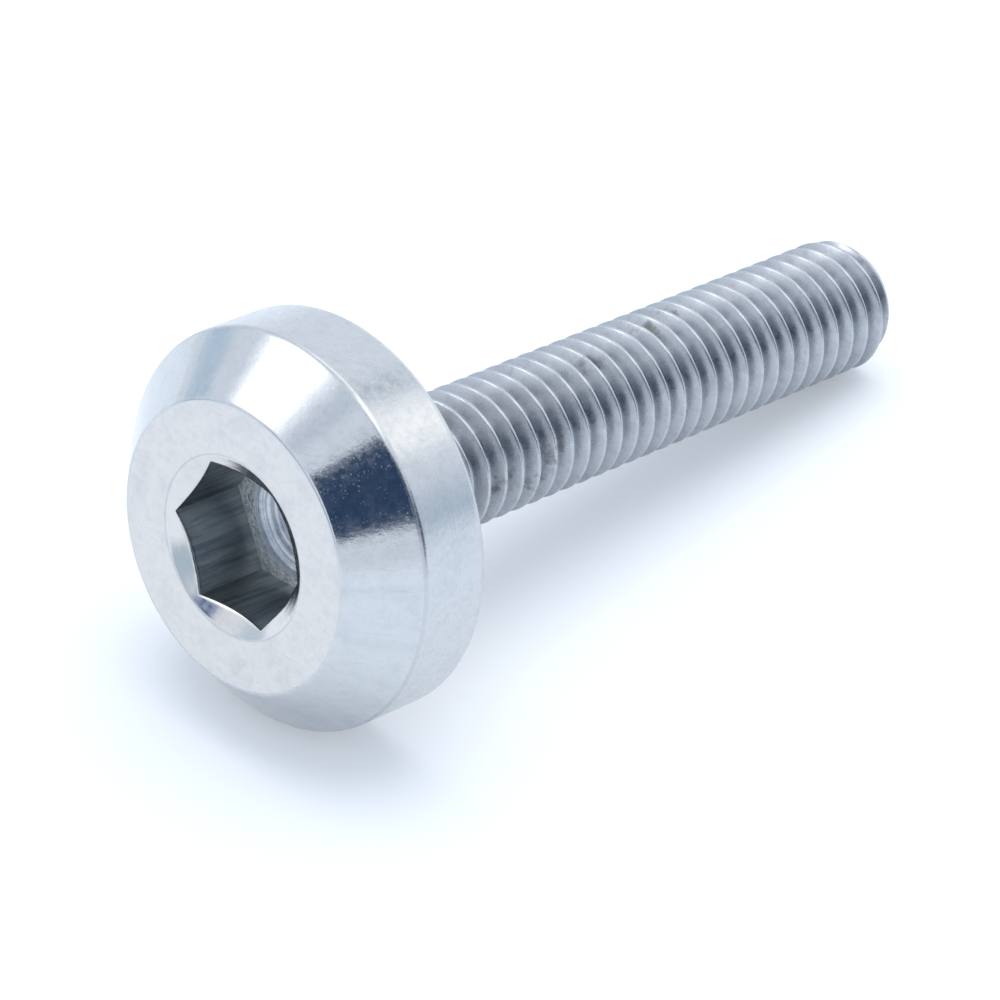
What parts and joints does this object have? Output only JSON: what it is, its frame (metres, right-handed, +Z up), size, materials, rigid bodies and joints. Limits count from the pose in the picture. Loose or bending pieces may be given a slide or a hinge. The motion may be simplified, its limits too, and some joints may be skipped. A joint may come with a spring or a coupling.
{
  "type": "socket head bolt",
  "caption": "Bright steel machine bolt with a wide bevelled head, countersunk hexagon socket and fully threaded shank; clamps a panel or bracket to a tapped hole.",
  "frame": {"origin": "bottom centre of the bolt's box as it lies on a flat surface", "axes": "+Z up, +Y from the head towards the tip along the surface, +X across; the axis dips to the tip because the wide head holds it up"},
  "size_m": [0.017, 0.0386, 0.0173],
  "materials": {
    "steel": "turned and lightly polished stainless steel, satin front face, duller thread"
  },
  "bodies": {
    "root": {"bolt": "steel"}
  },
  "joints": []
}
